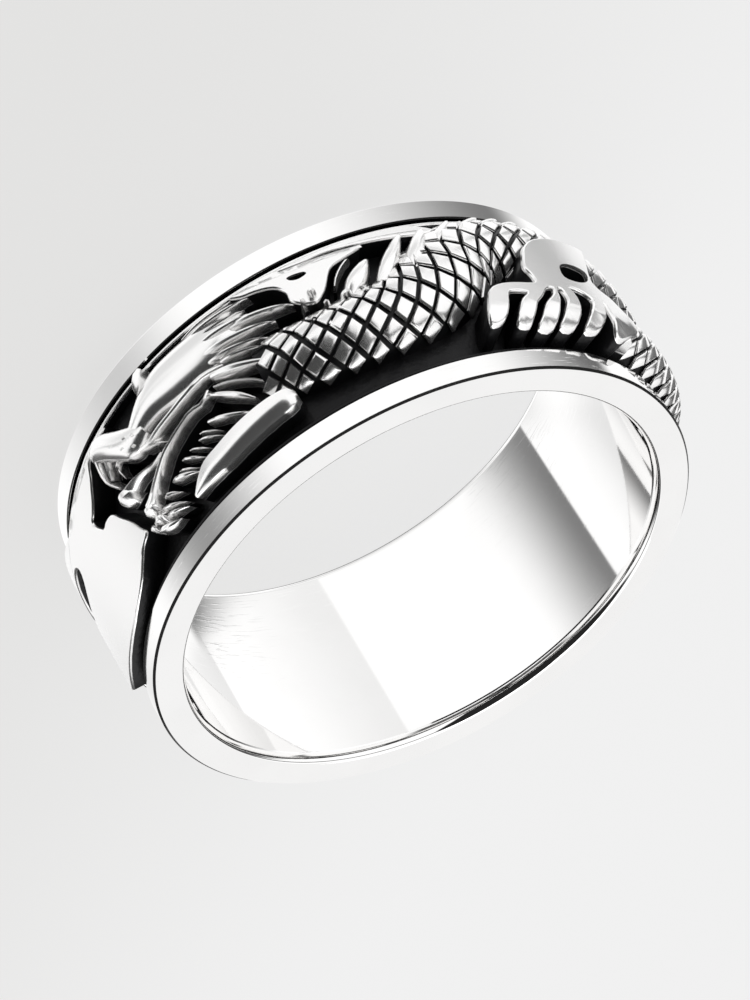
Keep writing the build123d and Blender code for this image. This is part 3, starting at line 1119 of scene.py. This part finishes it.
@dataclass
class BackSpikes(Relief):
    """The row of spikes along the dragon's back."""

    forms: Forms = blades(
        "spike",
        ((-15.4, 0.43), (-22.2, 0.235), 0.120, 0.82), ((-21.8, 0.43), (-30.4, 0.13), 0.105, 0.86),
        ((-28.0, 0.42), (-35.2, 0.11), 0.125, 0.82), ((-33.5, 0.31), (-41.6, 0.075), 0.100, 0.80),
        ((-41.0, 0.19), (-48.8, 0.055), 0.080, 0.76), ((-46.5, 0.155), (-54.2, 0.045), 0.080, 0.72),
        ((-52.0, 0.135), (-59.8, 0.035), 0.080, 0.68), ((-58.0, 0.12), (-65.6, 0.035), 0.080, 0.64),
        ((-64.0, 0.11), (-71.4, 0.03), 0.080, 0.62), ((-112, 0.34), (-122, 0.08), 0.10, 0.70),
        ((-121, 0.38), (-131, 0.12), 0.10, 0.74), ((-131, 0.40), (-141, 0.14), 0.10, 0.74),
        ((-142, 0.38), (-152, 0.11), 0.10, 0.72), ((-153, 0.31), (-163, 0.07), 0.10, 0.70),
        ((-206, 0.27), (-216, 0.12), 0.09, 0.62), ((-216, 0.34), (-226, 0.18), 0.09, 0.60),
        ((-226, 0.40), (-236, 0.24), 0.09, 0.58), ((-236, 0.45), (-246, 0.30), 0.08, 0.54),
        ((-248, 0.70), (-260, 0.84), 0.09, 0.54), ((-236, 0.70), (-246, 0.86), 0.09, 0.56),
    )


@dataclass
class Paws(Relief):
    """The fore leg with its paw and claws, and the hind leg of the far side."""

    forms: Forms = (
        Plate(
            "fore_paw",
            (
                (-51, 0.38), (-54, 0.31), (-58, 0.27), (-62, 0.25), (-66, 0.24), (-70, 0.24), (-69, 0.31),
                (-67.5, 0.4), (-66, 0.48), (-65, 0.56), (-66, 0.61), (-68, 0.64), (-70, 0.71), (-72, 0.78),
                (-71, 0.87), (-68, 0.92), (-65.5, 0.94), (-64, 0.9), (-64, 0.8), (-64, 0.73),
                (-62.5, 0.82), (-60.5, 0.91), (-59, 0.94), (-56, 0.94), (-57.5, 0.86), (-60, 0.77),
                (-60.5, 0.72), (-58.5, 0.68), (-56, 0.67),
                (-56.5, 0.71), (-56.5, 0.77), (-55.5, 0.85), (-53.5, 0.94), (-50, 0.94), (-51.5, 0.86),
                (-53.5, 0.77), (-53.5, 0.7),
                (-52.5, 0.71), (-52, 0.77), (-50.5, 0.85), (-48.5, 0.945), (-45, 0.945), (-46, 0.89),
                (-48, 0.81), (-50.5, 0.75), (-51.5, 0.7),
                (-50, 0.71), (-48, 0.77), (-46, 0.82), (-44, 0.91), (-43, 0.94), (-40.5, 0.93), (-41, 0.88),
                (-43, 0.79), (-45, 0.74), (-42, 0.73),
                (-41, 0.76), (-40, 0.82), (-38.5, 0.89), (-37, 0.92), (-35, 0.92), (-35, 0.86), (-36.5, 0.77),
                (-38, 0.7), (-40, 0.67), (-43, 0.66), (-48, 0.66), (-48.5, 0.6), (-48, 0.54), (-49.5, 0.45),
            ),
            1.0,
            hollows=(((-57, 0.51), (-59, 0.47), (-62, 0.46), (-64.5, 0.48), (-64, 0.54), (-62, 0.59),
                      (-59, 0.61), (-56.5, 0.59)),),
            droop=0.36,
        ),
        ridge("wrist", Cut.DOME, (-64, 0.64, 0.12, 0.96), (-66.5, 0.73, 0.17, 1.0), (-68.5, 0.84, 0.19, 0.98),
              (-69, 0.92, 0.13, 0.80)),
        ridge("hind_leg", Cut.DOME, (-150, 0.56, 0.28, 0.96), (-162, 0.72, 0.24, 0.98),
              (-174, 0.74, 0.22, 0.96), (-184, 0.60, 0.24, 0.98)),
        bead("haunch", -150, 0.56, 0.42, 0.40, 1.00),
        bead("hind_paw", -186, 0.60, 0.30, 0.26, 1.00),
        *blades("far_claw",
                ((-184, 0.58), (-178, 0.32), 0.12, 0.92), ((-188, 0.58), (-184, 0.30), 0.12, 0.94),
                ((-190, 0.60), (-191, 0.32), 0.12, 0.94), ((-190, 0.64), (-198, 0.42), 0.12, 0.90)),
    )
    fore_leg: tuple[Section, ...] = path(
        (-65, 0.66, 0.20, 0.80), (-73, 0.72, 0.32, 0.90), (-82, 0.77, 0.38, 0.95), (-93, 0.79, 0.38, 0.94),
        (-104, 0.76, 0.32, 0.90), (-114, 0.68, 0.26, 0.86),
    )
    scale_length: float = 0.66 * MM
    lozenge_rows: int = 3
    groove: float = 0.15 * MM

    def build(self) -> list[bpy.types.Object]:
        """Model the forms, and the scaled foreleg behind the paw.

        Returns:
            The forms, and the foreleg's dome and scales.
        """
        looks = {"scale_length": self.scale_length, "lozenge_rows": self.lozenge_rows, "groove": self.groove}
        return super().build() + ScaledBody(self.size, sections=self.fore_leg, **looks).build()


@dataclass
class Cloud(Relief):
    """The curl of cloud under the dragon's neck, and the strip of it along the band's lip."""

    forms: Forms = (
        Plate(
            "cloud",
            (
                (3.5, 0.075), (-3, 0.07), (-6.4, 0.08), (-7.2, 0.115), (-10.8, 0.13), (-14.3, 0.125),
                (-18.6, 0.14), (-22, 0.152), (-18.8, 0.18), (-15.6, 0.205), (-14.3, 0.24), (-12.9, 0.30),
                (-11.6, 0.345), (-9.5, 0.385), (-7.2, 0.355), (-5.6, 0.30), (-5.7, 0.235), (-4.2, 0.175),
                (-1.2, 0.14), (1.6, 0.12),
            ),
            0.64,
            hollows=(((-7.2, 0.16), (-8.6, 0.158), (-10.4, 0.17), (-10.7, 0.19), (-9.0, 0.2),
                      (-7.6, 0.185)),),
        ),
        Plate(
            "lip_strip",
            (
                (-4, 0.062), (-6, 0.085), (-11, 0.1), (-15, 0.095), (-20, 0.108), (-26, 0.125), (-31, 0.138),
                (-35, 0.148), (-38, 0.13), (-36, 0.095), (-33, 0.07), (-28, 0.06), (-15, 0.06),
            ),
            0.56,
        ),
        ridge("flame_line", Cut.STRIP, (-20.6, 0.145, 0.018, 0.50), (-17.6, 0.20, 0.024, 0.54),
              (-15.4, 0.26, 0.022, 0.54), (-14.2, 0.31, 0.018, 0.50)),
    )


@dataclass
class TailFin(Relief):
    """The tail's end: its stem and the smooth two-lobed fin."""

    forms: Forms = (
        Plate(
            "fin",
            (
                (38, 0.1), (41, 0.085), (44, 0.08), (48, 0.09), (51, 0.12), (55.5, 0.145), (58.5, 0.16),
                (61.5, 0.17), (65, 0.14), (69, 0.1), (76, 0.05), (84, 0.07), (92, 0.16), (95, 0.22),
                (88, 0.23), (82, 0.2), (76, 0.2), (71.5, 0.235), (69.5, 0.3), (71.5, 0.36), (78, 0.405),
                (86, 0.43), (95, 0.44), (94, 0.56), (89, 0.74), (82, 0.9), (75, 0.95), (66, 0.975),
                (59, 0.975), (54.5, 0.955), (51, 0.93), (48.5, 0.9), (46.5, 0.86), (44, 0.81), (41.5, 0.78),
                (42.5, 0.715), (44, 0.625), (46, 0.54), (47, 0.49), (48, 0.465), (50, 0.455), (51.5, 0.46),
                (53.5, 0.4), (54, 0.35), (52.5, 0.33), (50.5, 0.29), (49, 0.245), (47.5, 0.2), (46, 0.14),
                (43.5, 0.11), (40, 0.11),
            ),
            0.60,
        ),
        ridge("tail_stem", Cut.DOME, (100, 0.44, 0.18, 0.66), (95, 0.38, 0.28, 0.66), (90, 0.34, 0.30, 0.62),
              (84, 0.33, 0.22, 0.56)),
    )


@dataclass
class DragonBand:
    """The cast band: its floor and lips, and all of the dragon in one piece."""

    size: RingSize
    finish: OxidisedSilver = OxidisedSilver()
    steps: int = 288
    crease: float = 38.0
    lip_width: float = 0.15 * MM
    lip_drop: float = 0.12 * MM
    lip_edge: float = 0.04 * MM
    worn_polish: float = 1.0
    floor_polish: float = -1.5

    def build(self) -> bpy.types.Object:
        """Model the band and all that is cast on it.

        Returns:
            The whole band.
        """
        pieces = [self._ring()]
        for part in (ScaledBody, Skull, Jaw, Mane, Beads, BackSpikes, Paws, Cloud, TailFin):
            made = part(self.size).build()
            LOG.info("%s: %d forms", part.__name__, len(made))
            pieces += made
        band = Bench.join(pieces, "dragon_band_cast")
        Bench.smooth(band, self.crease)
        return band

    def _ring(self) -> bpy.types.Object:
        """Turn the plain band under the relief.

        Returns:
            The band with a lip along each edge, of which the lower is worn bright.
        """
        size = self.size
        low, high = size.band_bottom, size.band_bottom + size.band_width
        lip = size.rim_radius - self.lip_drop
        half = [
            (size.band_bore_radius, 0.0),
            (lip - self.lip_edge, 0.0),
            (lip, self.lip_edge),
            (lip, self.lip_width - self.lip_edge),
            (lip - self.lip_edge, self.lip_width),
            (size.floor_radius, self.lip_width),
        ]
        upper = [(radius, high - up) for radius, up in reversed(half)]
        ring = Bench.turned("band_ring", [(radius, low + up) for radius, up in half] + upper, self.steps)
        worn_radius = lip - 2 * self.lip_edge
        polish = []
        for vertex in ring.data.vertices:
            outside = hypot(vertex.co.x, vertex.co.y) > worn_radius
            worn = outside and low + self.lip_edge / 2 < vertex.co.z < (low + high) / 2
            polish.append(self.worn_polish if worn else self.floor_polish)
        Bench.write_polish(ring, polish)
        return ring

    def dress(self, band: bpy.types.Object) -> None:
        """Give the band its finish and its place in the frame.

        Args:
            band: The modelled band.
        """
        band.data.materials.append(self.finish.make())
        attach(band, "band_body")
        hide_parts("dragon_band")


@dataclass
class Sleeve:
    """The polished sleeve with its two rims.

    The low rim's foot, out to contact_shadow_inset from its outer edge and up to contact_shadow_line, is
    painted dark as a contact shadow where the sleeve rests on the floor, and the channel, out to
    channel_inset from the rims' outer edge, is darkened as tarnish and painted shade.
    """

    size: RingSize
    finish: PolishedSilver = PolishedSilver()
    steps: int = 320
    crease: float = 26.0
    bevel_radial: float = 0.26 * MM
    bevel_axial: float = 0.42 * MM
    bevel_steps: int = 9
    bore_edge: float = 0.045 * MM
    edge: float = 0.085 * MM
    contact_shadow_line: float = 0.05 * MM
    contact_shadow_inset: float = 0.17 * MM
    foot_share: float = 0.5
    channel_inset: float = 0.068 * MM
    slack: float = 0.01

    def build(self) -> bpy.types.Object:
        """Turn the sleeve.

        Returns:
            The sleeve with its marks of polish, tarnish and painted shade.
        """
        size = self.size
        upper = [(radius, size.width - up) for radius, up in reversed(self._half(1.0))]
        sleeve = Bench.turned("sleeve_turned", self._half(self.foot_share) + upper, self.steps)
        rim = size.rim_width * (1 - self.slack)
        wall = size.bore_radius * (1 + self.slack)
        polish = []
        for vertex in sleeve.data.vertices:
            radius, height = hypot(vertex.co.x, vertex.co.y), vertex.co.z
            # Painted shade: the channel is darkened as tarnish and as the shade between sleeve and band, and
            # the foot, where the sleeve rests on the floor, as a painted contact shadow.
            channel = rim < height < size.width - rim and wall < radius < size.rim_radius - self.channel_inset
            foot = height < self.contact_shadow_line and radius < size.rim_radius - self.contact_shadow_inset
            polish.append(0.0 if channel or foot else 1.0)
        Bench.write_polish(sleeve, polish)
        Bench.smooth(sleeve, self.crease)
        return sleeve

    def _half(self, share: float) -> list[tuple[float, float]]:
        """Return half of the sleeve's outline, from the bore over one rim to the channel.

        Args:
            share: Size of the bore's bevel, as a share of the full one.

        Returns:
            Radius and height above the rim's outer face of each point.
        """
        size = self.size
        axial, radial = self.bevel_axial * share, self.bevel_radial * share
        half = [(size.bore_radius, axial + self.bore_edge)]
        for step in range(self.bevel_steps + 1):
            turn = pi / 2 * step / self.bevel_steps
            inwards = (radial - self.bore_edge) * (1 - cos(turn))
            half.append((size.bore_radius + self.bore_edge + inwards, axial * (1 - sin(turn))))
        return half + [
            (size.bore_radius + radial + self.bore_edge, 0.0),
            (size.rim_radius - self.edge, 0.0),
            (size.rim_radius, self.edge),
            (size.rim_radius, size.rim_width - self.edge / 2),
            (size.rim_radius - self.edge / 2, size.rim_width),
            (size.rim_radius - self.edge, size.rim_width),
            (size.channel_radius, size.rim_width),
        ]

    def dress(self, sleeve: bpy.types.Object) -> None:
        """Give the sleeve its finish and its place in the frame.

        Args:
            sleeve: The modelled sleeve.
        """
        sleeve.data.materials.append(self.finish.make())
        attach(sleeve, "sleeve_body")
        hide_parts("sleeve")


class Card(NamedTuple):
    """A grey card in the room: its middle, its reach to either side, and its tone."""

    middle: float
    before: float
    after: float
    tone: float


@dataclass(frozen=True)
class CardRow:
    """Grey cards side by side, above a soft edge that bends up with the turn. The lowest row has none."""

    cards: tuple[Card, ...]
    edge: tuple = ()
    bend: float = 0.0

    def tone(self, sheet: NodeSheet, turn: Signal, open_tone: float) -> Signal:
        """Return the tone of the room behind the cards.

        Args:
            sheet: The room's nodes.
            turn: The direction's turn.
            open_tone: The tone where there is no card.

        Returns:
            The tone.
        """
        light = turn * 0 + open_tone
        for card in self.cards:
            start, end = card.middle - card.before, card.middle + card.after
            light = light * (1 - sheet.window(turn, start, card.middle, card.middle, end) * (1 - card.tone))
        return light


@dataclass(frozen=True)
class Room:
    """The bright room that the silver mirrors, with its dark places and its grey cards.

    A direction is told in degrees: its turn, from -Y towards +X, and its rise above level. A pair or
    a four of values is soft edges, where the tone changes from one value to the next. They are
    degrees too, apart from under_ahead, which is how much of the direction goes to -Y.
    """

    open_tone: float = 1.1
    behind_tone: float = 0.93
    darkest: float = 0.02
    arch_rise: float = 54.0
    arch_bend: float = 0.00245
    arch: tuple = (-5.5, -4.0, 4.0, 5.5)
    patch_slope: float = 0.55
    patch_foot: tuple = (-28.0, -21.0)
    patch_top: tuple = (74.0, 84.0)
    patch_side_slope: float = 2.2
    patch_side: tuple = (-33.0, -27.0)
    patch_turn: tuple = (-46.0, -38.0, 76.0, 94.0)
    under_fall: tuple = (42.0, 46.0)
    under_ahead: tuple = (0.1, 0.3)
    under_shade: float = 0.3
    low_behind_turn: tuple = (95.0, 115.0)
    low_behind_rise: tuple = (-29.0, -26.0, 12.0, 17.0)
    low_behind_shade: float = 0.92
    behind_turn: tuple = (110.0, 140.0)
    behind_rise: tuple = (10.0, 24.0)
    cards_rise: tuple = (-40.0, -38.5, -31.0, -29.0)
    back_row: CardRow = CardRow((Card(-115, 30, 90, 0.2), Card(65, 50, 70, 0.6)))
    rim_row: CardRow = CardRow(
        (Card(-120, 8, 60, 0.12), Card(65, 50, 45, 0.3), Card(150, 40, 60, 0.8)), (-36.9, -36.5), 0.00009
    )
    bore_row: CardRow = CardRow(
        (Card(-121, 50, 1.5, 0.8), Card(-43, 60, 1.5, 0.84), Card(80, 48, 1.5, 0.2), Card(140, 50, 60, 0.75)),
        (-34.6, -34.3),
        0.000035,
    )

    def light(self) -> None:
        """Make the room the scene's world."""
        world = bpy.data.worlds.new("studio")
        bpy.context.scene.world = world
        sheet = NodeSheet(world)
        across, along, up = sheet.axes(sheet.add("ShaderNodeTexCoord", output="Generated"))
        turn = across.angle_from(0 - along) * (180 / pi)
        rise = up.arcsine() * (180 / pi)
        ahead = sheet.smooth_step(0 - along, *self.under_ahead)
        among_cards = sheet.window(rise, *self.cards_rise)
        open_room = self._open(sheet, turn, rise, ahead)
        tone = sheet.mix_colour(among_cards, open_room, self._cards(sheet, turn, rise))
        glow = sheet.add("ShaderNodeBackground", {"Color": tone, "Strength": 1.0})
        sheet.show("ShaderNodeOutputWorld", glow)

    def _open(self, sheet: NodeSheet, turn: Signal, rise: Signal, ahead: Signal) -> Signal:
        """Return the tone of the open room.

        Args:
            sheet: The room's nodes.
            turn: The direction's turn.
            rise: The direction's rise.
            ahead: 1 where the direction goes to the camera's side and 0 elsewhere.

        Returns:
            The tone, with the dark arch, the dark patch and the shades below and behind.
        """
        arch = sheet.window(rise + turn * turn * self.arch_bend - self.arch_rise, *self.arch)
        patch = sheet.smooth_step(rise - turn * self.patch_slope, *self.patch_foot)
        patch = patch * (1 - sheet.smooth_step(rise, *self.patch_top))
        patch = patch * sheet.smooth_step(rise + turn * self.patch_side_slope, *self.patch_side)
        patch = patch * sheet.window(turn, *self.patch_turn)
        under = sheet.smooth_step(0 - rise, *self.under_fall) * ahead
        low_behind = self._past(sheet, turn, self.low_behind_turn) * sheet.window(rise, *self.low_behind_rise)
        behind = self._past(sheet, turn, self.behind_turn) * sheet.smooth_step(rise, *self.behind_rise)
        bright = self.open_tone - behind * (self.open_tone - self.behind_tone)
        shaded = bright * (1 - arch) * (1 - patch) * (1 - under * self.under_shade)
        return shaded * (1 - low_behind * self.low_behind_shade) + self.darkest

    def _cards(self, sheet: NodeSheet, turn: Signal, rise: Signal) -> Signal:
        """Return the tone of the part of the room that holds the cards.

        Args:
            sheet: The room's nodes.
            turn: The direction's turn.
            rise: The direction's rise.

        Returns:
            The tone of the highest row that starts below the direction.
        """
        tone = self.back_row.tone(sheet, turn, self.open_tone)
        for row in (self.rim_row, self.bore_row):
            above = sheet.smooth_step(rise - turn * turn * row.bend, *row.edge)
            tone = sheet.mix_colour(above, tone, row.tone(sheet, turn, self.open_tone))
        return tone

    @staticmethod
    def _past(sheet: NodeSheet, turn: Signal, edges: tuple) -> Signal:
        """Return a signal that is 1 where the turn to either side is past two soft edges."""
        return sheet.smooth_step(turn * turn, *(edge**2 for edge in edges))


@dataclass
class Studio:
    """The photograph's view, a plain pale floor and soft light."""

    eye: tuple = (0.0, -0.1374, 0.0984)
    tilt: float = 55.7
    roll: float = 148.45
    lens: float = 155.4
    sensor: float = 36.0
    floor_size: float = 1.2
    floor_grey: float = 0.08
    floor_roughness: float = 0.9
    floor_specular: float = 0.1
    floor_glow_near: tuple = (0.70, 0.697, 0.69, 1.0)
    floor_glow_far: tuple = (0.80, 0.80, 0.80, 1.0)
    floor_glow_fade: tuple = (-0.03, 0.03)
    box_place: tuple = (0.05, 0.12, 0.4)
    box_size: float = 0.35
    box_power: float = 0.5
    aim: tuple = (0.0, 0.0, 0.0046)

    def place_camera(self) -> None:
        """Place the camera at the photograph's angle."""
        data = bpy.data.cameras.new("photo_camera")
        data.lens = self.lens
        data.sensor_width = self.sensor
        camera = bpy.data.objects.new("photo_camera", data)
        bpy.context.collection.objects.link(camera)
        turn = Matrix.Rotation(radians(self.tilt), 4, "X") @ Matrix.Rotation(radians(self.roll), 4, "Z")
        camera.matrix_world = Matrix.Translation(self.eye) @ turn
        bpy.context.scene.camera = camera

    def lay_floor(self) -> None:
        """Lay the pale floor, which glows softly as painted light that fills in the ring's shadow, and isn't
        mirrored by the silver.
        """
        Bench.clear_selection()
        bpy.ops.mesh.primitive_plane_add(size=self.floor_size, location=(0, 0, 0))
        floor_sheet = bpy.context.object
        floor_sheet.name = "floor"
        floor_sheet.visible_glossy = False
        material = bpy.data.materials.new("pale_floor")
        sheet = NodeSheet(material)
        x, y, _ = sheet.axes(sheet.place())
        # Painted light: the floor glows, paler towards one side, and its dark base colour keeps the ring's
        # shadow on it faint.
        glow = sheet.mix_colour(sheet.smooth_step(y - x, *self.floor_glow_fade), self.floor_glow_near, self.floor_glow_far)
        sheet.surface({
            "Base Color": (self.floor_grey, self.floor_grey, self.floor_grey, 1.0),
            "Roughness": self.floor_roughness,
            "Specular IOR Level": self.floor_specular,
            "Emission Color": glow,
            "Emission Strength": 1.0,
        })
        floor_sheet.data.materials.append(material)

    def light(self) -> None:
        """Light the room and hang one soft box that faces the ring."""
        bpy.context.scene.view_settings.view_transform = "Standard"
        Room().light()
        data = bpy.data.lights.new("overhead", "AREA")
        data.shape = "RECTANGLE"
        data.size = data.size_y = self.box_size
        data.energy = self.box_power
        box = bpy.data.objects.new("overhead", data)
        bpy.context.collection.objects.link(box)
        facing = (Vector(self.aim) - Vector(self.box_place)).to_track_quat("-Z", "Y")
        box.matrix_world = Matrix.Translation(self.box_place) @ facing.to_matrix().to_4x4()


def main() -> None:
    """Build the studio and the ring's two pieces, and report each."""
    logging.basicConfig(level=logging.INFO, format="%(message)s", stream=sys.stdout)
    size = RingSize.from_frame()
    studio = Studio()
    studio.place_camera()
    studio.lay_floor()
    studio.light()
    LOG.info("studio ready")
    for maker in (Sleeve(size), DragonBand(size)):
        piece = maker.build()
        maker.dress(piece)
        LOG.info("%s: %d faces", piece.name, len(piece.data.polygons))


if __name__ == "__main__":
    main()
